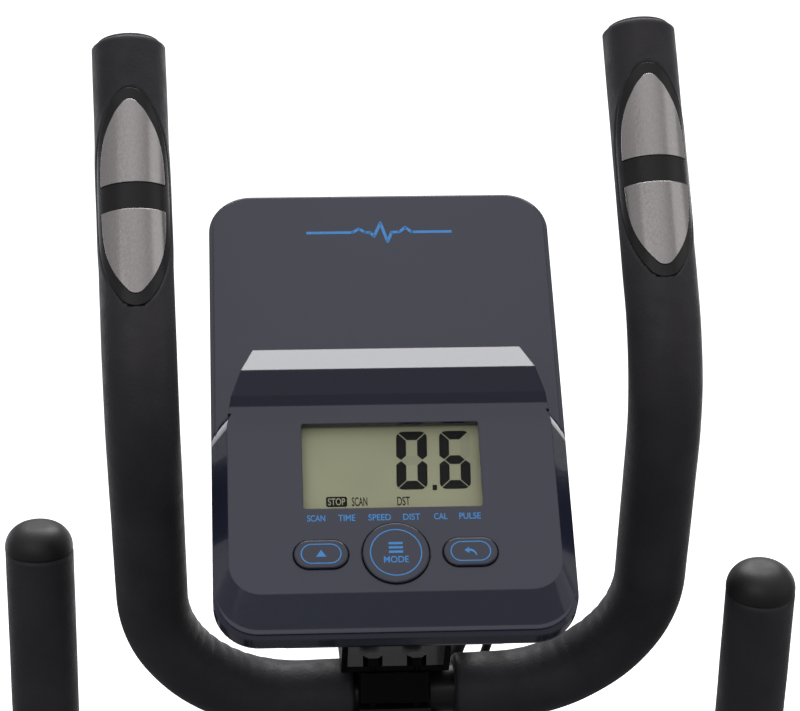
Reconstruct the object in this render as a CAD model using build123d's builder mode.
from build123d import *
import os
from math import acos, atan2, cos, degrees, hypot, pi, radians, sin

# Elliptical trainer, millimetres. +X user's right, +Y forward, +Z up.
# The origin is the middle of the footprint on the floor.
os.makedirs("parts", exist_ok=True)

SIDES = (("left", -1), ("right", 1))

# --- driving dimensions -------------------------------------------------------
# base
base_rear_y, base_front_y = -582, 540
wheel_reach, wheel_x, wheel_radius = 50, 162, 24
stabilizer_radius, stabilizer_half, stabilizer_z = 25, 236, 37
base_width, base_height, base_wall = 60, 42, 2.5
base_bottom = stabilizer_z + stabilizer_radius
base_top = base_bottom + base_height
cap_radius = 32

# mast: it leans back towards the user
mast_foot = (455, 92)
mast_head = (331, 1216)
mast_radius, mast_wall = 25, 2
socket_height, socket_wall = 130, 3
swing_z = 900

# crank linkage
crank_center = (-330, 340)
crank_radius = 140
crank_lean = radians(16)
swing_length = 590
pedal_length = 712
crank_arm_x, crank_arm_thick = 66, 12
pedal_x, pedal_width, pedal_height = 140, 30, 46
swing_x = 177
footplate_x, footplate_width, footplate_length = 157, 124, 340

# drive inside the housing
flywheel_center = (-115, 290)
flywheel_radius, flywheel_thick = 112, 22
pulley_radius, small_pulley_radius, belt_x, belt_width = 118, 22, 46, 10
housing_half, housing_wall = 60, 3

# handlebar
bar_radius, foam_radius = 12.5, 17.5
bar_half, bar_y, bar_z = 122.8, 331, 1240
bar_shift, bar_skew, bar_yaw = 4, 1.29, 1.0
moving_tube_radius, moving_foam_radius = 14, 17

# console: a wedge leaning back at 45 degrees
console_x, console_y, console_z, console_tilt = -5.5, 300, 1422, 45
console_half, console_top, console_foot = 84, 94, -150
console_corner, console_face = 21, 11
shell_wall = 2.5

grip_gap = 0.05


def save(part, name):
    part.label = name
    export_step(part, "parts/" + name + ".step")


def side_plane(x, point, angle=0.0):
    """A plane seen from the right: local x is forward and local y is up, turned by angle."""
    turned = radians(angle)
    return Plane(origin=(x, point[0], point[1]), x_dir=(0, cos(turned), sin(turned)), z_dir=(1, 0, 0))


def circle_meet(first, first_radius, second, second_radius, pick):
    """The point at both distances; pick is +1 or -1 for the side of the line first-second."""
    gap = hypot(second[0] - first[0], second[1] - first[1])
    along = (first_radius**2 - second_radius**2 + gap**2) / (2 * gap)
    across = pick * (first_radius**2 - along**2) ** 0.5
    ux, uy = (second[0] - first[0]) / gap, (second[1] - first[1]) / gap
    return (first[0] + along * ux - across * uy, first[1] + along * uy + across * ux)


def turn_of(first, second):
    return degrees(atan2(second[1] - first[1], second[0] - first[0]))


def bent_tube(plane, points, bends, outer, inner=0.0):
    with BuildPart() as made:
        with BuildLine(plane) as path:
            FilletPolyline(*points, radius=bends)
        with BuildSketch(Plane(origin=path.line @ 0, z_dir=path.line % 0)):
            Circle(outer)
            if inner:
                Circle(inner, mode=Mode.SUBTRACT)
        sweep()
    return made.part


def rod(plane, radius, start, end, bore=0.0):
    """A round bar along the plane's normal."""
    with BuildPart() as made:
        with BuildSketch(plane.offset(start)):
            Circle(radius)
            if bore:
                Circle(bore, mode=Mode.SUBTRACT)
        extrude(amount=end - start)
    return made.part


def tangent_outline(circles):
    """The closed line pulled tight round circles given anticlockwise, as (x, y, radius)."""
    touches = []
    for (x0, y0, r0), (x1, y1, r1) in zip(circles, circles[1:] + circles[:1]):
        heading = atan2(y1 - y0, x1 - x0)
        normal = heading - acos((r0 - r1) / hypot(x1 - x0, y1 - y0))
        touches.append(((x0 + r0 * cos(normal), y0 + r0 * sin(normal)),
                        (x1 + r1 * cos(normal), y1 + r1 * sin(normal)), normal))
    for index, (leave, arrive, normal) in enumerate(touches):
        Line(leave, arrive)
        x, y, radius = circles[(index + 1) % len(circles)]
        next_leave, _, next_normal = touches[(index + 1) % len(touches)]
        middle = normal + (next_normal - normal) % (2 * pi) / 2
        ThreePointArc(arrive, (x + radius * cos(middle), y + radius * sin(middle)), next_leave)


def joined(name, pieces):
    """Identical fasteners as a group of separate solids in one node."""
    save(Compound(children=pieces), name)


# --- places worked out from the driving dimensions ----------------------------
mast_slope = (mast_foot[0] - mast_head[0]) / (mast_head[1] - mast_foot[1])
mast_lean = degrees(atan2(mast_slope, 1))
mast_dir = (0, -sin(radians(mast_lean)), cos(radians(mast_lean)))
mast_plane = Plane(origin=(0, *mast_foot), x_dir=(1, 0, 0), z_dir=mast_dir)
mast_length = hypot(mast_foot[0] - mast_head[0], mast_head[1] - mast_foot[1])


def mast_y(height):
    return mast_foot[0] - (height - mast_foot[1]) * mast_slope


swing_pivot = (mast_y(swing_z), swing_z)
crank_pin = {}
swing_foot = {}
swing_rest = {}
pedal_rest = {}
for side_name, side in SIDES:
    crank_pin[side] = (
        crank_center[0] + side * crank_radius * sin(crank_lean),
        crank_center[1] - side * crank_radius * cos(crank_lean),
    )
    swing_foot[side] = circle_meet(crank_pin[side], pedal_length, swing_pivot, swing_length, -1)
    swing_rest[side] = turn_of(swing_pivot, swing_foot[side]) + 90
    pedal_rest[side] = turn_of(crank_pin[side], swing_foot[side])
    print(side_name, "crank pin", crank_pin[side], "swing foot", swing_foot[side], "leans", swing_rest[side])
print("swing pivot", swing_pivot)

# the brake shoe's hinge lies just outside the flywheel rim, at its front
flywheel_x = -12
brake_inner, brake_outer, brake_half = flywheel_radius + 6, flywheel_radius + 10, 16
brake_start, brake_end = 35, 105
brake_plane = side_plane(flywheel_x, flywheel_center)
hinge_spot = ((brake_outer + 4) * cos(radians(brake_start)), (brake_outer + 4) * sin(radians(brake_start)))
hinge_y, hinge_z = flywheel_center[0] + hinge_spot[0], flywheel_center[1] + hinge_spot[1]
print("brake hinge", hinge_y, hinge_z)

# === base =====================================================================
base_length = base_front_y - base_rear_y + 20
base_middle = (base_front_y + base_rear_y) / 2
crank_post_y = crank_center[0]
fork_x, fork_plate = 38, 4
bearing_shell_radius, bearing_shell_half = 23, 30
axle_radius = 10
stab_bolt_offsets = (-18, 18)
stab_bolt_radius = 4

with BuildPart() as main_frame:
    with BuildSketch(Plane.XZ.offset(-(base_middle + base_length / 2))):
        with Locations((0, base_bottom + base_height / 2)):
            Rectangle(base_width, base_height)
    extrude(amount=base_length)
    # mast socket, leaning with the mast
    with BuildSketch(mast_plane):
        Circle(mast_radius + socket_wall + grip_gap)
    extrude(amount=socket_height)
    # crank post and bearing shell
    with BuildSketch(Plane.XY.offset(base_top - 1)):
        with Locations((0, crank_post_y)):
            Rectangle(40, 40)
    extrude(amount=crank_center[1] - base_top)
    with BuildSketch(side_plane(0, crank_center)):
        Circle(bearing_shell_radius)
    extrude(amount=bearing_shell_half, both=True)
    # the two fork plates that carry the flywheel
    for plate_x in (-fork_x - fork_plate / 2, fork_x - fork_plate - 4):
        with BuildSketch(side_plane(plate_x, (flywheel_center[0], base_top - 2))) as plate:
            with BuildLine():
                Polyline((-55, 0), (-26, flywheel_center[1] - base_top + 22),
                         (26, flywheel_center[1] - base_top + 22), (55, 0), close=True)
            make_face()
            fillet(plate.vertices().group_by(Axis.Y)[-1], radius=18)
        extrude(amount=fork_plate)
    # the two carrier plates of the brake's hinge pin
    carrier_y = flywheel_center[0] + 40
    for plate_x in (-fork_x + 1, fork_x - 5):
        with BuildSketch(side_plane(plate_x, (0, 0))):
            with BuildLine():
                Polyline((carrier_y + 20, base_top), (hinge_y + 9, hinge_z - 4),
                         (hinge_y + 9, hinge_z + 9), (hinge_y - 9, hinge_z + 9),
                         (hinge_y - 9, hinge_z - 30), (carrier_y + 2, base_top + 60),
                         (carrier_y + 2, base_top), close=True)
            make_face()
        extrude(amount=fork_plate)
    with BuildSketch(side_plane(0, (hinge_y, hinge_z))):
        Circle(4.1)
    extrude(amount=60, both=True, mode=Mode.SUBTRACT)
    # the plates join the tube through a cross plate
    with BuildSketch(Plane.XY.offset(base_top - 2)):
        with Locations((0, flywheel_center[0])):
            Rectangle(2 * fork_x + 6, 120)
    extrude(amount=4)
    # bores
    with BuildSketch(mast_plane.offset(-20)):
        Circle(mast_radius + grip_gap)
    extrude(amount=socket_height + 40, mode=Mode.SUBTRACT)
    with BuildSketch(side_plane(0, crank_center)):
        Circle(axle_radius + 3)
    extrude(amount=bearing_shell_half, both=True, mode=Mode.SUBTRACT)
    for end_x in (-bearing_shell_half, bearing_shell_half - 12):
        with BuildSketch(side_plane(end_x, crank_center)):
            Circle(bearing_shell_radius - 3)
        extrude(amount=12, mode=Mode.SUBTRACT)
    with BuildSketch(side_plane(0, flywheel_center)):
        Circle(14)
    extrude(amount=60, both=True, mode=Mode.SUBTRACT)
    # saddle cuts where the tube sits on the stabilizers, and the bolt holes
    for y in (base_rear_y, base_front_y):
        with BuildSketch(side_plane(0, (y, stabilizer_z))):
            Circle(stabilizer_radius + grip_gap)
        extrude(amount=60, both=True, mode=Mode.SUBTRACT)
        with BuildSketch(Plane.XY.offset(stabilizer_z)):
            with Locations(*[(x, y) for x in stab_bolt_offsets]):
                Circle(stab_bolt_radius + 0.2)
        extrude(amount=90, mode=Mode.SUBTRACT)
    # hollow of the base tube, between the bolted ends
    hollow_start, hollow_end = base_rear_y + 40, mast_foot[0] - 60
    with BuildSketch(Plane.XZ.offset(-hollow_end)):
        with Locations((0, base_bottom + base_height / 2)):
            Rectangle(base_width - 2 * base_wall, base_height - 2 * base_wall)
    extrude(amount=hollow_end - hollow_start, mode=Mode.SUBTRACT)
save(main_frame.part, "main_frame")

caps = []
for end_name, y in (("rear", base_rear_y), ("front", base_front_y)):
    with BuildPart() as stabilizer:
        with BuildSketch(side_plane(-stabilizer_half, (y, stabilizer_z))):
            Circle(stabilizer_radius)
            Circle(stabilizer_radius - 2, mode=Mode.SUBTRACT)
        extrude(amount=2 * stabilizer_half)
        with BuildSketch(Plane.XY.offset(stabilizer_z)):
            with Locations(*[(x, y) for x in stab_bolt_offsets]):
                Circle(stab_bolt_radius + 0.2)
        extrude(amount=90, mode=Mode.SUBTRACT)
        if end_name == "front":
            # ears for the transport wheels
            for x in (-176, -148, 148, 176):
                with BuildSketch(side_plane(x - 2, (y, stabilizer_z))):
                    with BuildLine():
                        Polyline((20, -14), (20, 14), (wheel_reach, 4), (wheel_reach + 8, -6),
                                 (wheel_reach, -15), close=True)
                    make_face()
                extrude(amount=4)
            with BuildSketch(side_plane(-200, (y + wheel_reach, stabilizer_z - 6))):
                Circle(4.1)
            extrude(amount=400, mode=Mode.SUBTRACT)
    save(stabilizer.part, end_name + "_stabilizer")

    for side_name, side in SIDES:
        inner_x = side * (stabilizer_half - 22)
        with BuildPart() as cap:
            with BuildSketch(side_plane(inner_x, (y, stabilizer_z))):
                Circle(cap_radius)
            extrude(amount=side * 46)
            fillet(cap.edges().filter_by(GeomType.CIRCLE), radius=5)
            with BuildSketch(Plane.XY):
                with Locations((side * (stabilizer_half + 1), y)):
                    Rectangle(34, 44)
            extrude(amount=26)
            with BuildSketch(side_plane(side * (stabilizer_half - 40), (y, stabilizer_z))):
                Circle(stabilizer_radius + grip_gap)
            extrude(amount=side * 40.5, mode=Mode.SUBTRACT)
        caps.append(cap.part)
joined("end_caps", caps)

wheel_center = (base_front_y + wheel_reach, stabilizer_z - 6)
hex_bolts = []
for y in (base_rear_y, base_front_y):
    for x in stab_bolt_offsets:
        with BuildPart() as bolt:
            with BuildSketch(Plane.XY.offset(stabilizer_z + stabilizer_radius - 12)):
                with Locations((x, y)):
                    Circle(stab_bolt_radius)
            extrude(amount=base_top - stabilizer_z - stabilizer_radius + 12)
            with BuildSketch(Plane.XY.offset(base_top)):
                with Locations((x, y)):
                    RegularPolygon(7.5, 6)
            extrude(amount=6)
        hex_bolts.append(bolt.part)

for side_name, side in SIDES:
    with BuildPart() as wheel:
        with BuildSketch(side_plane(side * wheel_x, wheel_center)):
            Circle(wheel_radius)
        extrude(amount=10, both=True)
        fillet(wheel.edges().filter_by(GeomType.CIRCLE), radius=4)
        for face_x in (side * wheel_x - 10, side * wheel_x + 7):
            with BuildSketch(side_plane(face_x, wheel_center)):
                Circle(15)
                Circle(8, mode=Mode.SUBTRACT)
            extrude(amount=3, mode=Mode.SUBTRACT)
        with BuildSketch(side_plane(side * wheel_x, wheel_center)):
            Circle(4.1)
        extrude(amount=20, both=True, mode=Mode.SUBTRACT)
    save(wheel.part, "transport_wheel_" + side_name)
    with BuildPart() as wheel_bolt:
        with BuildSketch(side_plane(side * wheel_x, wheel_center)):
            Circle(4)
        extrude(amount=19, both=True)
        for head_x in (side * wheel_x - 21, side * wheel_x + 16):
            with BuildSketch(side_plane(head_x, wheel_center)):
                RegularPolygon(6.5, 6)
            extrude(amount=5)
    hex_bolts.append(wheel_bolt.part)

# === mast =====================================================================
sleeve_radius, sleeve_half = 17, 150
clamp_width, clamp_depth, clamp_gap = 36, 46, 1.5
clamp_bolt_spots = [(x, bar_y + y) for x in (-11, 11) for y in (-18, 18)]
skew, yaw = radians(bar_skew), radians(bar_yaw)
bar_axis = Plane(origin=(bar_shift, bar_y, bar_z), x_dir=(-sin(yaw), cos(yaw), 0),
                 z_dir=(cos(skew) * cos(yaw), cos(skew) * sin(yaw), sin(skew)))
knob_z = 1020
knob_y = mast_y(knob_z) - mast_radius

with BuildPart() as mast:
    with BuildSketch(mast_plane.offset(30)):
        Circle(mast_radius)
    extrude(amount=mast_length - 30)
    # lower half of the handlebar saddle
    with BuildSketch(Plane.XY.offset(bar_z - 27)):
        with Locations((0, bar_y)):
            Rectangle(clamp_width, clamp_depth)
    extrude(amount=27 - clamp_gap)
    # cross sleeve for the swing-arm axle
    with BuildSketch(side_plane(0, swing_pivot)):
        Circle(sleeve_radius)
    extrude(amount=sleeve_half, both=True)
    # hollow of the tube
    with BuildSketch(mast_plane.offset(20)):
        Circle(mast_radius - mast_wall)
    extrude(amount=mast_length - 40, mode=Mode.SUBTRACT)
    with BuildSketch(side_plane(0, swing_pivot)):
        Circle(sleeve_radius)
    extrude(amount=mast_radius, both=True)
    with BuildSketch(side_plane(0, swing_pivot)):
        Circle(axle_radius + grip_gap)
    extrude(amount=sleeve_half, both=True, mode=Mode.SUBTRACT)
    with BuildSketch(bar_axis):
        Circle(bar_radius + grip_gap)
    extrude(amount=60, both=True, mode=Mode.SUBTRACT)
    with BuildSketch(Plane.XY.offset(bar_z - 14)):
        with Locations(*clamp_bolt_spots):
            Circle(3)
    extrude(amount=14, mode=Mode.SUBTRACT)
    # bore of the tension knob's spindle
    with BuildSketch(Plane.XZ.offset(-mast_y(knob_z))):
        with Locations((0, knob_z)):
            Circle(5.1)
    extrude(amount=mast_radius + 5, mode=Mode.SUBTRACT)
    # cable window in the back of the head
    with BuildSketch(Plane.XZ.offset(-mast_y(1180) - mast_radius - 5)):
        with Locations((0, 1180)):
            SlotOverall(34, 16, rotation=90)
    extrude(amount=mast_radius - 2, mode=Mode.SUBTRACT)
save(mast.part, "mast")

for height in (60, 105):
    for angle in (0, 90, 180):
        across = mast_plane.x_dir * cos(radians(angle)) - mast_plane.y_dir * sin(radians(angle))
        spin = Plane(origin=(mast_plane * Location((0, 0, height))).position,
                     x_dir=mast_plane.z_dir, z_dir=across)
        with BuildPart() as bolt:
            with BuildSketch(spin.offset(mast_radius + socket_wall + 0.4)):
                RegularPolygon(6.5, 6)
            extrude(amount=6)
        hex_bolts.append(bolt.part)

with BuildPart() as swing_axle:
    with BuildSketch(side_plane(0, swing_pivot)):
        Circle(axle_radius)
    extrude(amount=203, both=True)
    chamfer(swing_axle.edges().filter_by(GeomType.CIRCLE), length=1.5)
save(swing_axle.part, "swing_axle")

for side_name, side in SIDES:
    with BuildPart() as nut:
        with BuildSketch(side_plane(side * 203.1, swing_pivot)):
            Circle(17)
        extrude(amount=side * 8)
        fillet(nut.faces().sort_by(Axis.X)[-1 if side > 0 else 0].edges(), radius=5)
    hex_bolts.append(nut.part)

# === swing arms and moving handles ============================================
swing_tube_radius, hub_radius, hub_half = 16, 25, 22
socket_bolts, bolt_head_radius, bolt_shank_radius, bolt_hole_radius = (52, 84), 6, 3, 3.1
knee, handle_top = (0, 125), (-54, 413)
grip_length = 285
bearings = []
for side_name, side in SIDES:
    arm = side_plane(side * swing_x, swing_pivot, swing_rest[side])
    arm_foot = Plane(origin=arm.from_local_coords((0, -swing_length, 0)), x_dir=arm.x_dir, z_dir=arm.z_dir)
    with BuildPart() as swing_arm:
        with BuildSketch(Plane(origin=arm.from_local_coords((0, -swing_length + 8, 0)), z_dir=arm.y_dir)):
            Circle(swing_tube_radius)
        extrude(amount=swing_length + 102)
        with BuildSketch(arm):
            Circle(hub_radius)
        extrude(amount=hub_half, both=True)
        with BuildSketch(arm_foot):
            Circle(20)
        extrude(amount=16, both=True)
        # hollow of the tube, with a drain hole near its foot
        with BuildSketch(Plane(origin=arm.from_local_coords((0, 36 - swing_length, 0)), z_dir=arm.y_dir)):
            Circle(swing_tube_radius - 2)
        extrude(amount=swing_length - 36 - hub_radius - 6, mode=Mode.SUBTRACT)
        with BuildSketch(Plane(origin=arm.from_local_coords((0, 40 - swing_length, 0)), z_dir=-arm.x_dir)):
            Circle(2.5)
        extrude(amount=20, mode=Mode.SUBTRACT)
        # socket for the handle tube
        with BuildSketch(Plane(origin=arm.from_local_coords((0, 34, 0)), z_dir=arm.y_dir)):
            Circle(moving_tube_radius + grip_gap)
        extrude(amount=90, mode=Mode.SUBTRACT)
        with BuildSketch(arm):
            Circle(axle_radius + 2.5)
        extrude(amount=hub_half, both=True, mode=Mode.SUBTRACT)
        with BuildSketch(arm_foot):
            Circle(8.1)
        extrude(amount=16, both=True, mode=Mode.SUBTRACT)
        # spot faces and holes for the two socket bolts
        for height in socket_bolts:
            spot = Plane(origin=arm.from_local_coords((0, height, 0)), x_dir=arm.x_dir, z_dir=(side, 0, 0))
            with BuildSketch(spot.offset(swing_tube_radius - 1)):
                Circle(bolt_head_radius + 0.1)
            extrude(amount=4, mode=Mode.SUBTRACT)
            with BuildSketch(spot.offset(8)):
                Circle(bolt_hole_radius)
            extrude(amount=swing_tube_radius, mode=Mode.SUBTRACT)
    save(swing_arm.part, "swing_arm_" + side_name)

    with BuildPart() as bushing:
        with BuildSketch(arm):
            Circle(axle_radius + 2.45)
            Circle(axle_radius + 0.06, mode=Mode.SUBTRACT)
        extrude(amount=hub_half + 0.2, both=True)
        for face_x in (-hub_half - 2.5, hub_half + 0.1):
            with BuildSketch(arm.offset(face_x)):
                Circle(16)
                Circle(axle_radius + 0.06, mode=Mode.SUBTRACT)
            extrude(amount=2.4)
    bearings.append(bushing.part)

    with BuildPart() as handle:
        add(bent_tube(arm, ((0, 36), knee, handle_top), (150,), moving_tube_radius, moving_tube_radius - 2))
        for height in socket_bolts:
            spot = Plane(origin=arm.from_local_coords((0, height, 0)), x_dir=arm.x_dir, z_dir=(side, 0, 0))
            with BuildSketch(spot.offset(8)):
                Circle(bolt_hole_radius)
            extrude(amount=swing_tube_radius, mode=Mode.SUBTRACT)
    save(handle.part, "moving_handle_" + side_name)

    lean = degrees(atan2(knee[0] - handle_top[0], handle_top[1] - knee[1]))
    grip_axis = Plane(
        origin=arm.from_local_coords((*handle_top, 0)),
        x_dir=(1, 0, 0),
        z_dir=(0, -sin(radians(lean + swing_rest[side])), cos(radians(lean + swing_rest[side]))),
    )
    grip = rod(grip_axis, moving_foam_radius, -grip_length, 0, moving_tube_radius + grip_gap)
    save(grip, "moving_grip_" + side_name)
    with BuildPart() as handle_cap:
        with BuildSketch(grip_axis.offset(0.1)):
            Circle(moving_foam_radius)
        extrude(amount=13)
        fillet(handle_cap.faces().sort_by(Axis.Z)[-1].edges(), radius=12)
        with BuildSketch(grip_axis.offset(-18)):
            Circle(moving_tube_radius - 2 - grip_gap)
        extrude(amount=18.2)
    save(handle_cap.part, "handle_cap_" + side_name)

    with BuildPart() as pivot_bolt:
        pivot = Plane(origin=arm_foot.origin, x_dir=arm.x_dir, z_dir=(side, 0, 0))
        with BuildSketch(pivot.offset(-16.5)):
            Circle(8)
        extrude(amount=33)
        with BuildSketch(pivot.offset(16.1)):
            Circle(15)
        extrude(amount=2)
        with BuildSketch(pivot.offset(18)):
            RegularPolygon(11, 6)
        extrude(amount=7)
    arm_bolts = [pivot_bolt.part]
    for height in socket_bolts:
        with BuildPart() as bolt:
            spot = Plane(origin=arm.from_local_coords((0, height, 0)), x_dir=arm.x_dir, z_dir=(side, 0, 0))
            with BuildSketch(spot.offset(swing_tube_radius - 0.98)):
                Circle(bolt_head_radius)
            extrude(amount=4)
            fillet(bolt.faces().sort_by(Axis.X)[-1 if side > 0 else 0].edges(), radius=1.5)
            with BuildSketch(spot.offset(9)):
                Circle(bolt_shank_radius)
            extrude(amount=8)
        arm_bolts.append(bolt.part)
    joined("swing_bolts_" + side_name, arm_bolts)

# === crank, pedal arms and foot plates ========================================
with BuildPart() as crank_axle:
    with BuildSketch(side_plane(0, crank_center)):
        Circle(axle_radius)
    extrude(amount=crank_arm_x + crank_arm_thick + 2, both=True)
save(crank_axle.part, "crank_axle")

for start in (-bearing_shell_half, bearing_shell_half - 12):
    bearings.append(rod(side_plane(0, crank_center), bearing_shell_radius - 3.05, start, start + 12,
                        axle_radius + 0.03))
pin_radius, pin_end = 8, 168
crank_arms, crank_pins, pedal_bearings, crank_discs = [], [], [], []
for side_name, side in SIDES:
    pin = crank_pin[side]
    face = side_plane(side * crank_arm_x, crank_center)
    offset = (pin[0] - crank_center[0], pin[1] - crank_center[1])
    with BuildPart() as crank_arm:
        with BuildSketch(face):
            with BuildLine():
                tangent_outline([(0, 0, 24), (*offset, 19)])
            make_face()
        extrude(amount=side * crank_arm_thick)
        chamfer(crank_arm.faces().sort_by(Axis.X)[-1 if side > 0 else 0].edges(), length=2)
        with BuildSketch(face):
            Circle(axle_radius + grip_gap)
            with Locations(offset):
                Circle(pin_radius + grip_gap)
        extrude(amount=side * crank_arm_thick, mode=Mode.SUBTRACT)
    crank_arms.append(crank_arm.part)

    pin_plane = Plane(origin=(0, *pin), x_dir=(0, 1, 0), z_dir=(side, 0, 0))
    with BuildPart() as crank_pin_part:
        with BuildSketch(pin_plane.offset(crank_arm_x)):
            Circle(pin_radius)
        extrude(amount=pin_end - crank_arm_x)
        with BuildSketch(pin_plane.offset(crank_arm_x + crank_arm_thick + 0.1)):
            Circle(14)
        extrude(amount=6)
        with BuildSketch(pin_plane.offset(pin_end - 3)):
            Circle(15)
        extrude(amount=9)
        fillet(crank_pin_part.faces().sort_by(Axis.X)[-1 if side > 0 else 0].edges(), radius=4)
    crank_pins.append(crank_pin_part.part)

    pedal = side_plane(side * pedal_x, pin, pedal_rest[side])
    with BuildPart() as pedal_arm:
        with BuildSketch(pedal):
            with Locations((pedal_length / 2, 0)):
                Rectangle(pedal_length - 20, pedal_height)
        extrude(amount=pedal_width / 2, both=True)
        fillet([edge for edge in pedal_arm.edges().filter_by(GeomType.LINE) if edge.length > 400], radius=5)
        # hollow of the tube, with a drain hole below
        with BuildSketch(pedal):
            with Locations((pedal_length / 2, 0)):
                Rectangle(pedal_length - 64, pedal_height - 4)
        extrude(amount=pedal_width / 2 - 2, both=True, mode=Mode.SUBTRACT)
        with BuildSketch(Plane(origin=pedal.from_local_coords((60, 0, 0)), z_dir=-pedal.y_dir)):
            Circle(3)
        extrude(amount=pedal_height, mode=Mode.SUBTRACT)
        with BuildSketch(pedal):
            Circle(22)
        extrude(amount=22, both=True)
        with BuildSketch(pedal):
            with Locations((pedal_length, 0)):
                Circle(21)
        extrude(amount=17.5, both=True)
        with BuildSketch(pedal):
            Circle(pin_radius + 4)
        extrude(amount=30, both=True, mode=Mode.SUBTRACT)
        # nut of the front pivot, on the inner side
        nut_plane = Plane(origin=pedal.from_local_coords((pedal_length, 0, 0)), x_dir=pedal.x_dir,
                          z_dir=(-side, 0, 0))
        with BuildSketch(nut_plane.offset(17)):
            RegularPolygon(12, 6)
        extrude(amount=7)
    save(pedal_arm.part, "pedal_arm_" + side_name)

    pedal_bearings.append(rod(pedal, pin_radius + 3.95, -21.8, 21.8, pin_radius + 0.04))

    # foot plate: a tray with a raised toe and side lips
    tray_start = -46
    tray_corner = (tray_start, pedal_height / 2 + 0.1, side * (footplate_x - pedal_x))
    tray = Plane(origin=pedal.from_local_coords(tray_corner), x_dir=pedal.x_dir, z_dir=pedal.y_dir)
    with BuildPart() as foot_plate:
        with BuildSketch(tray):
            with Locations((footplate_length / 2, 0)):
                RectangleRounded(footplate_length, footplate_width, 26)
        extrude(amount=34)
        with BuildSketch(tray.offset(10)):
            with Locations((footplate_length / 2, 0)):
                RectangleRounded(footplate_length - 9, footplate_width - 9, 21.5)
        extrude(amount=30, mode=Mode.SUBTRACT)
        # the lip is low at the heel and rises to the toe
        with BuildSketch(Plane(origin=tray.origin, x_dir=pedal.x_dir, z_dir=(1, 0, 0))):
            with BuildLine():
                Polyline((-5, 14), (footplate_length * 0.55, 18), (footplate_length * 0.8, 40),
                         (-5, 40), close=True)
            make_face()
        extrude(amount=footplate_width, both=True, mode=Mode.SUBTRACT)
        # raised tread bars
        with BuildSketch(tray.offset(9)):
            with Locations((footplate_length / 2, 0)):
                with GridLocations(24, 0, 12, 1):
                    Rectangle(7, footplate_width - 34)
        extrude(amount=3)
        with BuildSketch(tray):
            with Locations((footplate_length / 2 - 70, 0), (footplate_length / 2 + 70, 0)):
                Circle(3)
        extrude(amount=12, mode=Mode.SUBTRACT)
    save(foot_plate.part, "foot_plate_" + side_name)

joined("crank_arms", crank_arms)
joined("crank_pins", crank_pins)
joined("pedal_bearings", pedal_bearings)

# === drive ====================================================================
with BuildPart() as crank_pulley:
    with BuildSketch(side_plane(belt_x - belt_width / 2, crank_center)):
        Circle(pulley_radius)
        Circle(axle_radius + grip_gap, mode=Mode.SUBTRACT)
        with PolarLocations(66, 6):
            Circle(22, mode=Mode.SUBTRACT)
    extrude(amount=belt_width)
    with BuildSketch(side_plane(belt_x - 12, crank_center)):
        Circle(20)
        Circle(axle_radius + grip_gap, mode=Mode.SUBTRACT)
    extrude(amount=19)
save(crank_pulley.part, "crank_pulley")

flywheel_axle_radius = 8
with BuildPart() as flywheel_shaft:
    add(rod(side_plane(0, flywheel_center), flywheel_axle_radius, -46, belt_x + 8))
    add(rod(side_plane(0, flywheel_center), small_pulley_radius, belt_x - 6, belt_x + 6))
save(flywheel_shaft.part, "flywheel_shaft")

with BuildPart() as flywheel:
    with BuildSketch(side_plane(flywheel_x, flywheel_center)):
        Circle(flywheel_radius)
        Circle(flywheel_axle_radius + grip_gap, mode=Mode.SUBTRACT)
    extrude(amount=flywheel_thick / 2, both=True)
    for face_x in (-flywheel_thick / 2, flywheel_thick / 2 - 6):
        with BuildSketch(side_plane(flywheel_x + face_x, flywheel_center)):
            Circle(flywheel_radius - 22)
            Circle(26, mode=Mode.SUBTRACT)
        extrude(amount=6, mode=Mode.SUBTRACT)
    with BuildSketch(side_plane(flywheel_x, flywheel_center)):
        with PolarLocations(58, 5):
            Circle(15)
    extrude(amount=flywheel_thick, both=True, mode=Mode.SUBTRACT)
save(flywheel.part, "flywheel")

for plate_x in (-fork_x - fork_plate / 2, fork_x - fork_plate - 4):
    bearings.append(rod(side_plane(plate_x, flywheel_center), 13.95, 0, fork_plate,
                        flywheel_axle_radius + 0.03))
joined("bearings", bearings)

# belt round both pulleys, a plain closed loop
belt_gap, belt_thick = 0.15, 2.2
with BuildPart() as belt:
    for radius_add, mode in ((belt_gap + belt_thick, Mode.ADD), (belt_gap, Mode.SUBTRACT)):
        with BuildSketch(side_plane(belt_x - belt_width / 2 + 0.5, (0, 0))):
            with BuildLine():
                tangent_outline([(*crank_center, pulley_radius + radius_add),
                                 (*flywheel_center, small_pulley_radius + radius_add)])
            make_face()
        extrude(amount=belt_width - 1, mode=mode)
save(belt.part, "drive_belt")

# magnet brake: a curved shoe over the flywheel rim, hinged at its front end
with BuildPart() as brake:
    with BuildSketch(brake_plane):
        with BuildLine():
            outer_arc = CenterArc((0, 0), brake_outer, brake_start, brake_end - brake_start)
            inner_arc = CenterArc((0, 0), brake_inner, brake_start, brake_end - brake_start)
            Line(outer_arc @ 0, inner_arc @ 0)
            Line(outer_arc @ 1, inner_arc @ 1)
        make_face()
    extrude(amount=brake_half, both=True)
    with BuildSketch(brake_plane):
        with Locations(hinge_spot):
            Circle(8)
    extrude(amount=brake_half, both=True)
    with BuildSketch(brake_plane):
        Circle(brake_inner)
    extrude(amount=brake_half, both=True, mode=Mode.SUBTRACT)
    with BuildSketch(brake_plane):
        with Locations(hinge_spot):
            Circle(4.1)
    extrude(amount=brake_half, both=True, mode=Mode.SUBTRACT)
save(brake.part, "brake_shoe")

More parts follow.
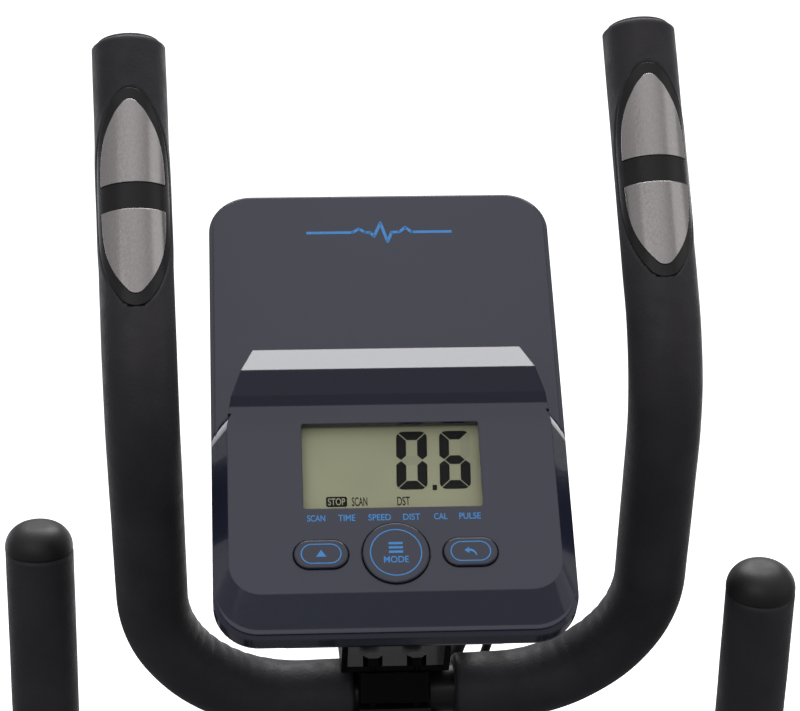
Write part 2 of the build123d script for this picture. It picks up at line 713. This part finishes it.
magnets = []
for angle in (50, 68, 86):
    with BuildPart() as magnet:
        spot = Plane(origin=brake_plane.from_local_coords((brake_inner * cos(radians(angle)),
                                                           brake_inner * sin(radians(angle)), 0)),
                     x_dir=(1, 0, 0),
                     z_dir=(0, -cos(radians(angle)), -sin(radians(angle))))
        with BuildSketch(spot):
            Rectangle(20, 24)
        extrude(amount=3.6)
        with BuildSketch(brake_plane):
            Circle(brake_inner - 0.02)
        extrude(amount=brake_half, both=True, mode=Mode.INTERSECT)
    magnets.append(magnet.part)
joined("brake_magnets", magnets)

brake_pin = rod(side_plane(0, (hinge_y, hinge_z)), 4, 1 - fork_x, fork_x - 1)

# === housing ==================================================================
housing_bottom = base_top + 8


housing_rounds = ((-455, housing_bottom + 26, 24), (40, housing_bottom + 26, 24),
                  (*flywheel_center, 148), (*crank_center, 165))


def housing_block(inset, width, edge):
    """The side outline, two rounds over the pulleys and two at the skirt, pushed sideways."""
    with BuildPart() as block:
        with BuildSketch(Plane.YZ):
            with BuildLine():
                tangent_outline([(y, z, radius - inset) for y, z, radius in housing_rounds])
            make_face()
        extrude(amount=width)
        fillet(block.faces().sort_by(Axis.X)[-1 if width > 0 else 0].edges(), radius=edge)
    return block.part


for side_name, side in SIDES:
    with BuildPart() as housing:
        add(housing_block(0, side * housing_half, 14))
        add(housing_block(housing_wall, side * (housing_half - housing_wall), 11), mode=Mode.SUBTRACT)
        # round window for the crank boss
        with BuildSketch(side_plane(0, crank_center)):
            Circle(34)
        extrude(amount=side * 80, mode=Mode.SUBTRACT)
        # slot for the frame posts at the bottom
        with BuildSketch(Plane.XY.offset(housing_bottom - 20)):
            with Locations((0, crank_post_y)):
                Rectangle(44, 44)
            with Locations((0, flywheel_center[0] + 2)):
                Rectangle(2 * fork_x + 10, 128)
        extrude(amount=40, mode=Mode.SUBTRACT)
        with BuildSketch(side_plane(side * housing_half, (0, 0))):
            with Locations((-465, 180), (-10, 180), (-230, 430)):
                Circle(3)
        extrude(amount=-side * 20, mode=Mode.SUBTRACT)
    save(housing.part, "housing_" + side_name)

    with BuildPart() as cover_disc:
        with BuildSketch(side_plane(side * (housing_half + 1.2), crank_center)):
            Circle(42)
            Circle(axle_radius + grip_gap, mode=Mode.SUBTRACT)
        extrude(amount=side * 4)
        rim_face = cover_disc.faces().sort_by(Axis.X)[-1 if side > 0 else 0]
        fillet(rim_face.edges().sort_by(SortBy.RADIUS)[-1], radius=2)
    crank_discs.append(cover_disc.part)
joined("crank_discs", crank_discs)

panel_screws = []
for side_name, side in SIDES:
    for y, z in ((-465, 180), (-10, 180), (-230, 430)):
        with BuildPart() as screw:
            with BuildSketch(side_plane(side * (housing_half + 0.1), (y, z))):
                Circle(5)
            extrude(amount=side * 2)
            with BuildSketch(side_plane(side * (housing_half + 0.2), (y, z))):
                Circle(2.9)
            extrude(amount=-side * 12)
        panel_screws.append(screw.part)

# === tension knob =============================================================
knob_plane = Plane(origin=(0, knob_y, knob_z), x_dir=(1, 0, 0), z_dir=(0, -1, 0))
with BuildPart() as knob_base:
    with BuildSketch(knob_plane.offset(-12)):
        Circle(29)
    extrude(amount=20)
    fillet(knob_base.faces().sort_by(Axis.Y)[0].edges(), radius=3)
    with BuildSketch(mast_plane.offset(600)):
        Circle(mast_radius + grip_gap)
    extrude(amount=600, mode=Mode.SUBTRACT)
    with BuildSketch(knob_plane.offset(-20)):
        Circle(5.1)
    extrude(amount=40, mode=Mode.SUBTRACT)
save(knob_base.part, "knob_base")
with BuildPart() as knob:
    with BuildSketch(knob_plane.offset(8.3)):
        Circle(23)
        with PolarLocations(25.5, 10):
            Circle(5, mode=Mode.SUBTRACT)
    extrude(amount=20)
    chamfer(knob.faces().sort_by(Axis.Y)[0].edges(), length=1.2)
    with BuildSketch(knob_plane.offset(-14)):
        Circle(5)
    extrude(amount=23)
    with BuildSketch(knob_plane.offset(27)):
        with Locations((0, 15)):
            Rectangle(2.4, 9)
    extrude(amount=3, mode=Mode.SUBTRACT)
save(knob.part, "tension_knob")

# === handlebar ================================================================
# points of the bar's right half, from the middle outwards, about the clamp centre
bar_elbow = (bar_half, 0, 0)
bar_kink = (bar_half, -86.5, 179.8)
bar_end = (bar_half, -0.1, 331.6)
elbow_bend, kink_bend, bar_wall = 75, 76, 1.8
foam_start = {-1: 24, 1: 27}


def mirrored(points, side):
    return [(side * x, y, z) for x, y, z in points]


def place_on_bar(part):
    """Puts a piece drawn about the clamp centre into the bar's slightly skewed place."""
    return part.rotate(Axis.Y, -bar_skew).rotate(Axis.Z, bar_yaw).translate((bar_shift, bar_y, bar_z))


def swept_bar(points, bends, outer, inner):
    with BuildPart() as made:
        with BuildLine() as path:
            FilletPolyline(*points, radius=bends)
        with BuildSketch(Plane(origin=path.line @ 0, z_dir=path.line % 0)):
            Circle(outer)
            Circle(inner, mode=Mode.SUBTRACT)
        sweep()
    return made.part


full_path = mirrored((bar_end, bar_kink, bar_elbow), -1) + [bar_elbow, bar_kink, bar_end]
full_bends = (kink_bend, elbow_bend, elbow_bend, kink_bend)
save(place_on_bar(swept_bar(full_path, full_bends, bar_radius, bar_radius - bar_wall)), "handlebar")

upper_run = Vector(*bar_end) - Vector(*bar_kink)
upper_dir = upper_run.normalized()
face_dir = Vector(0, -upper_dir.Z, upper_dir.Y)
# the two sensors are let in at slightly different distances from the grips' ends
sensor_from_end = {-1: 81, 1: 77}
sensor_half_length, sensor_half_width, sensor_tip = 57.8, 16.8, 0.86
plate_half_length, plate_half_width, plate_tip, plate_gap = 49.5, 15, 0.93, 6.6
leaf_power, leaf_steps = 3.6, 8


def leaf_block(plane, half_length, half_width, tip):
    """A full pointed arch, mirrored below, whose tips are rounded beyond a share of its half-length."""
    side_points = []
    for step in range(-leaf_steps, leaf_steps + 1):
        share = tip * step / leaf_steps
        side_points.append((half_width * (1 - abs(share) ** leaf_power), half_length * share))
    end_x, end_y = side_points[-1]
    end_slope = half_width * leaf_power * tip ** (leaf_power - 1) / half_length
    crown = end_y - end_x * end_slope + end_x * hypot(1, end_slope)
    with BuildPart() as block:
        with BuildSketch(plane):
            with BuildLine():
                Spline(*side_points, tangents=((end_slope, 1), (-end_slope, 1)))
                ThreePointArc((end_x, end_y), (0, crown), (-end_x, end_y))
                Spline(*[(-x, y) for x, y in side_points], tangents=((-end_slope, 1), (end_slope, 1)))
                ThreePointArc((-end_x, -end_y), (0, -crown), (end_x, -end_y))
            make_face()
        extrude(amount=30)
    return block.part


def slab(plane, low, high):
    """A slab across the grip between two heights along it."""
    with BuildPart() as block:
        with BuildSketch(plane):
            with Locations((0, (low + high) / 2)):
                Rectangle(60, high - low)
        extrude(amount=30)
    return block.part


foam_grips, surrounds, plates, plugs = [], [], [], []
for side_name, side in SIDES:
    grip_points = mirrored(((foam_start[side], 0, 0), bar_elbow, bar_kink, bar_end), side)
    middle = Vector(side * bar_end[0], bar_end[1], bar_end[2]) - upper_dir * sensor_from_end[side]
    # looking at the grip from the user's side: local x across, local y along the grip
    sensor_plane = Plane(origin=middle, x_dir=(1, 0, 0), z_dir=face_dir)
    tube_plane = Plane(origin=middle, x_dir=(1, 0, 0), z_dir=upper_dir)

    with BuildPart() as pocket:
        add(leaf_block(sensor_plane, sensor_half_length + 0.3, sensor_half_width + 0.3, sensor_tip))
        add(rod(tube_plane, foam_radius - 2.9, -60, 60), mode=Mode.SUBTRACT)
    with BuildPart() as foam:
        add(swept_bar(grip_points, (elbow_bend, kink_bend), foam_radius, bar_radius + grip_gap))
        add(pocket.part, mode=Mode.SUBTRACT)
    foam_grips.append(place_on_bar(foam.part))

    with BuildPart() as plate_pocket:
        add(leaf_block(sensor_plane, plate_half_length + 0.1, plate_half_width + 0.1, plate_tip))
        add(rod(tube_plane, foam_radius - 0.55, -60, 60), mode=Mode.SUBTRACT)
        add(slab(sensor_plane, 0.1 - plate_gap, plate_gap - 0.1), mode=Mode.SUBTRACT)
    with BuildPart() as surround:
        add(rod(tube_plane, foam_radius + 0.5, -60, 60, foam_radius - 2.8))
        add(leaf_block(sensor_plane, sensor_half_length, sensor_half_width, sensor_tip), mode=Mode.INTERSECT)
        add(plate_pocket.part, mode=Mode.SUBTRACT)
    surrounds.append(place_on_bar(surround.part))

    for low, high in ((plate_gap, 60), (-60, -plate_gap)):
        with BuildPart() as plate:
            add(rod(tube_plane, foam_radius + 1, -60, 60, foam_radius - 0.5))
            add(leaf_block(sensor_plane, plate_half_length, plate_half_width, plate_tip), mode=Mode.INTERSECT)
            add(slab(sensor_plane, low, high), mode=Mode.INTERSECT)
        plates.append(place_on_bar(plate.part))

    end_plane = Plane(origin=(side * bar_end[0], bar_end[1], bar_end[2]), x_dir=(1, 0, 0), z_dir=upper_dir)
    with BuildPart() as plug:
        with BuildSketch(end_plane.offset(0.1)):
            Circle(foam_radius - 2.2)
        extrude(amount=1.4)
        fillet(plug.faces().sort_by(Axis.Z)[-1].edges(), radius=1.2)
        with BuildSketch(end_plane.offset(-16)):
            Circle(bar_radius - bar_wall - grip_gap)
        extrude(amount=16.2)
    plugs.append(place_on_bar(plug.part))
joined("foam_grips", foam_grips)
joined("pulse_surrounds", surrounds)
joined("pulse_plates", plates)
joined("grip_plugs", plugs)

with BuildPart() as clamp_cap:
    with BuildSketch(Plane.XY.offset(bar_z + clamp_gap)):
        with Locations((0, bar_y)):
            Rectangle(clamp_width, clamp_depth)
    extrude(amount=16)
    fillet(clamp_cap.edges().filter_by(Axis.Z), radius=4)
    with BuildSketch(bar_axis):
        Circle(bar_radius + grip_gap)
    extrude(amount=60, both=True, mode=Mode.SUBTRACT)
    with BuildSketch(Plane.XY.offset(bar_z)):
        with Locations(*clamp_bolt_spots):
            Circle(3.1)
    extrude(amount=40, mode=Mode.SUBTRACT)
save(clamp_cap.part, "clamp_cap")

# === console ==================================================================
tilt = radians(console_tilt)
console = Plane(origin=(console_x, console_y, console_z), x_dir=(1, 0, 0), z_dir=(0, -sin(tilt), cos(tilt)))
profile = Plane(origin=console.origin, x_dir=console.y_dir, z_dir=(1, 0, 0))
out_axis = Axis(console.origin, console.z_dir)
body_top, face_top, face_foot, face_half, face_corner = -28, -30, -132, 76.5, 15
backboard_face, backboard_back, seam = 2.5, -12, -1
box_back, box_half, box_top, box_foot = -36, 62, -22, -138
lip_half, lip_crest_half = 69.5, 63
lip_outline = ((-37, 0), (-37, 11), (-33.5, 11), (-29.5, 14.5), (-19.5, 21.4), (-4, 14), (-5, 10.5),
               (-17, 9.5), (-17, 0))
window_half, window_top, window_foot = 41.7, -43.2, -88.5
mode_v, oval_u, button_lift = -112.5, 34.3, 1.2
mode_radius, oval_length, oval_width, button_gap = 15.4, 25, 14.4, 0.5
lens_top, lcd_top, board_top = 7.4, 5.8, -1.5


def rounded_block(half, top, foot, corner, start, height, middle_u=0.0):
    """A rounded rectangle in the console's plane, pushed along the console's normal."""
    with BuildPart() as block:
        with BuildSketch(console.offset(start)):
            with Locations((middle_u, (top + foot) / 2)):
                RectangleRounded(2 * half, top - foot, corner)
        extrude(amount=height)
    return block.part


def console_loft(shrink, low, high):
    """The wedge of the console's lower body, from its rim up to its face."""
    with BuildPart() as block:
        for half, top, foot, corner, height in (
            (console_half, body_top, console_foot, console_corner, low),
            (face_half, face_top, face_foot, face_corner, high),
        ):
            with BuildSketch(console.offset(height)):
                with Locations((0, (top + foot) / 2)):
                    RectangleRounded(2 * (half - shrink), top - foot - 2 * shrink, corner - shrink)
        loft()
    return block.part


def button_rod(shape, start, height, grow):
    with BuildPart() as block:
        with BuildSketch(console.offset(start)):
            if shape == "mode":
                with Locations((0, mode_v)):
                    Circle(mode_radius + grow)
            else:
                with Locations(((-1 if shape == "up" else 1) * oval_u, mode_v)):
                    SlotOverall(oval_length + 2 * grow, oval_width + 2 * grow)
        extrude(amount=height)
    return block.part


battery_u, battery_door_half, battery_top, battery_foot = -44.5, 15, -44, -108
gland_v = -120
cable_glands = ((40, 3.5), (54, 2.3))
bracket_screw_spots = [(x, v) for x in (-16, 16) for v in (-44, -88)]
shell_screw_spots = [(u, v) for u in (-70, 70) for v in (80, 20, -118)]

with BuildPart() as back_shell:
    add(rounded_block(console_half, console_top, console_foot, console_corner, backboard_back,
                      seam - backboard_back))
    fillet(back_shell.faces().sort_by(out_axis)[0].edges(), radius=5)
    add(rounded_block(box_half, box_top, box_foot, 12, box_back, backboard_back - box_back + 1))
    fillet(back_shell.faces().sort_by(out_axis)[0].edges(), radius=3)
    add(rounded_block(console_half - 4, console_top - 4, console_foot + 4, console_corner - 4,
                      backboard_back + shell_wall, 20), mode=Mode.SUBTRACT)
    add(rounded_block(box_half - shell_wall, box_top - shell_wall, box_foot + shell_wall, 9.5,
                      box_back + shell_wall, 30), mode=Mode.SUBTRACT)
    # battery opening, cable glands, and the holes of the bracket and shell screws
    with BuildSketch(console.offset(box_back - 1)):
        with Locations((battery_u, (battery_top + battery_foot) / 2)):
            Rectangle(2 * battery_door_half, battery_top - battery_foot)
        for u, radius in cable_glands:
            with Locations((u, gland_v)):
                Circle(radius + 0.1)
        for x, v in bracket_screw_spots:
            with Locations((x - console_x, v)):
                Circle(2.6)
    extrude(amount=6, mode=Mode.SUBTRACT)
    with BuildSketch(console.offset(backboard_back - 1)):
        with Locations(*shell_screw_spots):
            Circle(1.8)
    extrude(amount=6, mode=Mode.SUBTRACT)
save(back_shell.part, "console_back")

battery_door = rounded_block(battery_door_half - 0.2, battery_top - 0.2, battery_foot + 0.2, 1.5,
                             box_back + 0.2, 1.8, battery_u)
save(battery_door, "battery_door")

with BuildPart() as lip:
    with BuildSketch(console):
        with BuildLine():
            Polyline((-face_half + 0.5, -37), (face_half - 0.5, -37), (lip_half + 5, -30), (lip_half, -19.5),
                     (lip_crest_half, -2), (-lip_crest_half, -2), (-lip_half, -19.5), (-lip_half - 5, -30),
                     close=True)
        make_face()
    extrude(amount=24)
    with BuildSketch(profile):
        with BuildLine():
            Polyline(*lip_outline, close=True)
        make_face()
    extrude(amount=face_half, both=True, mode=Mode.INTERSECT)

with BuildPart() as front_shell:
    add(rounded_block(console_half, console_top, console_foot, console_corner, seam + 0.1, 0.9))
    add(rounded_block(console_half - 2, console_top - 2, console_foot + 2, console_corner - 2, 0,
                      backboard_face))
    add(console_loft(0, 0, console_face))
    add(lip.part)
    # inside: behind the backboard, then behind the wedge
    add(rounded_block(console_half - 4, console_top - 4, body_top - 6, 12, -5, 5.4), mode=Mode.SUBTRACT)
    add(console_loft(shell_wall, -0.01, console_face - shell_wall), mode=Mode.SUBTRACT)
    add(rounded_block(console_half - 4, body_top - 4, console_foot + 4, 12, -5, 5.1), mode=Mode.SUBTRACT)
    # frame round the display, then the opening
    add(rounded_block(window_half + 3.2, window_top + 3.2, window_foot - 3.2, 3, lens_top + 0.1, 2))
    add(rounded_block(window_half, window_top, window_foot, 1.2, 0, 20), mode=Mode.SUBTRACT)
    for shape in ("mode", "up", "return"):
        add(button_rod(shape, 0, 20, button_gap), mode=Mode.SUBTRACT)
    # wells that guide the buttons stay inside the face, and screw bosses behind the shell
    for u, v in shell_screw_spots:
        with BuildSketch(console.offset(seam + 0.1)):
            with Locations((u, v)):
                Circle(4)
                Circle(1.5, mode=Mode.SUBTRACT)
        extrude(amount=2 if v > 0 else 9.5)
save(front_shell.part, "console_front")

save(rounded_block(window_half + 3, window_top + 3, window_foot - 3, 2, lens_top - 1.5, 1.5), "display_lens")
save(rounded_block(window_half + 3, window_top + 3, window_foot - 3, 1, lcd_top - 4.8, 4.8), "display_module")
with BuildPart() as board:
    with BuildSketch(console.offset(board_top - 1.6)):
        with Locations((0, -86)):
            Rectangle(118, 88)
        with Locations(*[(u, v) for u in (-54, 54) for v in (-48, -124)]):
            Circle(1.6, mode=Mode.SUBTRACT)
    extrude(amount=1.6)
    for u, v, width, height in ((0, -64, 20, 12), (-38, -66, 8, 8), (30, -100, 10, 5), (-20, -92, 6, 10)):
        with BuildSketch(console.offset(board_top - 3.2)):
            with Locations((u, v)):
                Rectangle(width, height)
        extrude(amount=1.7)
    with BuildSketch(console.offset(board_top - 0.1)):
        with Locations((0, -66)):
            Rectangle(80, 40)
    extrude(amount=lcd_top - 4.9 - board_top)
save(board.part, "circuit_board")

for shape in ("mode", "up", "return"):
    with BuildPart() as button:
        add(button_rod(shape, 5.2, console_face + button_lift - 5.2, 0))
        fillet(button.faces().sort_by(out_axis)[-1].edges(), radius=0.8)
        add(button_rod(shape, 5, 1.2, 1.6))
    save(button.part, shape + "_button")

pad_plane = Plane(origin=console.from_local_coords((0, lip_outline[-2][0], 0)), x_dir=(1, 0, 0),
                  z_dir=console.y_dir)
with BuildPart() as rest_pad:
    with BuildSketch(pad_plane.offset(0.05)):
        with Locations((0, -(backboard_face + 9.4) / 2)):
            Rectangle(2 * lip_crest_half - 6, 9.4 - backboard_face - 0.2)
    extrude(amount=1.6)
save(rest_pad.part, "rest_pad")

for u, v in shell_screw_spots:
    with BuildPart() as screw:
        with BuildSketch(console.offset(backboard_back - 1.6)):
            with Locations((u, v)):
                Circle(3.4)
        extrude(amount=1.5)
        with BuildSketch(console.offset(backboard_back - 0.3)):
            with Locations((u, v)):
                Circle(1.4)
        extrude(amount=12.5)
    panel_screws.append(screw.part)
joined("panel_screws", panel_screws)

# bracket: a base plate on the clamp, two cheeks and a slanted plate under the console
bracket_half, sheet = 27, 3
bracket_base = bar_z + clamp_gap + 16.1
slant = Plane(origin=(0, console_y, console_z), x_dir=(1, 0, 0), z_dir=console.z_dir)
plate_low, plate_high = -100, -32


def slant_point(v, w):
    spot = slant.from_local_coords((0, v, w))
    return (spot.Y, spot.Z)


with BuildPart() as bracket:
    with BuildSketch(Plane.XY.offset(bracket_base)):
        with Locations((0, bar_y)):
            Rectangle(2 * bracket_half, 42)
    extrude(amount=sheet)
    with BuildSketch(slant.offset(box_back - sheet - 0.1)):
        with Locations((0, (plate_low + plate_high) / 2)):
            Rectangle(2 * bracket_half, plate_high - plate_low)
    extrude(amount=sheet)
    for cheek_x in (-bracket_half, bracket_half - sheet):
        with BuildSketch(side_plane(cheek_x, (0, 0))):
            with BuildLine():
                Polyline((bar_y - 21, bracket_base), (bar_y + 21, bracket_base),
                         slant_point(plate_high, box_back - sheet), slant_point(plate_low, box_back - sheet),
                         close=True)
            make_face()
        extrude(amount=sheet)
    with BuildSketch(Plane.XY.offset(bracket_base - 1)):
        with Locations(*clamp_bolt_spots):
            Circle(3.1)
    extrude(amount=10, mode=Mode.SUBTRACT)
    with BuildSketch(slant.offset(box_back - 10)):
        with Locations(*bracket_screw_spots):
            Circle(2.6)
    extrude(amount=12, mode=Mode.SUBTRACT)
save(bracket.part, "console_bracket")

bracket_bolts = []
for x, v in bracket_screw_spots:
    with BuildPart() as screw:
        with BuildSketch(slant.offset(box_back - sheet - 3.2)):
            with Locations((x, v)):
                Circle(4.6)
        extrude(amount=3)
        with BuildSketch(slant.offset(box_back - sheet - 0.4)):
            with Locations((x, v)):
                Circle(2.5)
        extrude(amount=11)
    bracket_bolts.append(screw.part)
for x, y in clamp_bolt_spots:
    with BuildPart() as bolt:
        with BuildSketch(Plane.XY.offset(bar_z - 13.5)):
            with Locations((x, y)):
                Circle(2.95)
        extrude(amount=bracket_base + sheet - bar_z + 13.6)
        with BuildSketch(Plane.XY.offset(bracket_base + sheet + 0.05)):
            with Locations((x, y)):
                RegularPolygon(4.9, 6)
        extrude(amount=4.5)
    bracket_bolts.append(bolt.part)
hex_bolts.append(brake_pin)
joined("frame_bolts", hex_bolts)
joined("bracket_bolts", bracket_bolts)

# two cables from the console's back, behind the bar, into the window of the mast
window_spot = (mast_y(1180) + mast_radius, 1180)
for (u, radius), name, spread in zip(cable_glands, ("pulse_cable", "drive_cable"), (0, 1)):
    start = console.from_local_coords((u, gland_v, box_back + 4))
    out = console.from_local_coords((u, gland_v, box_back - 30))
    x0 = start.X
    route = (
        (start.X, start.Y, start.Z),
        (out.X, out.Y, out.Z),
        (out.X + 3 + 4 * spread, bar_y + 22, bar_z + 24 + 8 * spread),
        (out.X - 6 + 2 * spread, window_spot[0] + 24 + 6 * spread, bar_z - 26),
        (5 - 10 * spread, window_spot[0] + 22 + 8 * spread, window_spot[1] + 6 - 10 * spread),
        (4 - 9 * spread, window_spot[0] - 10, window_spot[1] + 5 - 9 * spread),
    )
    with BuildPart() as cable:
        with BuildLine() as path:
            FilletPolyline(*route, radius=(16, 22, 18, 10))
        with BuildSketch(Plane(origin=path.line @ 0, z_dir=path.line % 0)):
            Circle(radius)
        sweep()
    save(cable.part, name)
    run = path.wire().length
    print(name, "length", run, "volume ratio", cable.part.volume / (pi * radius**2 * run))
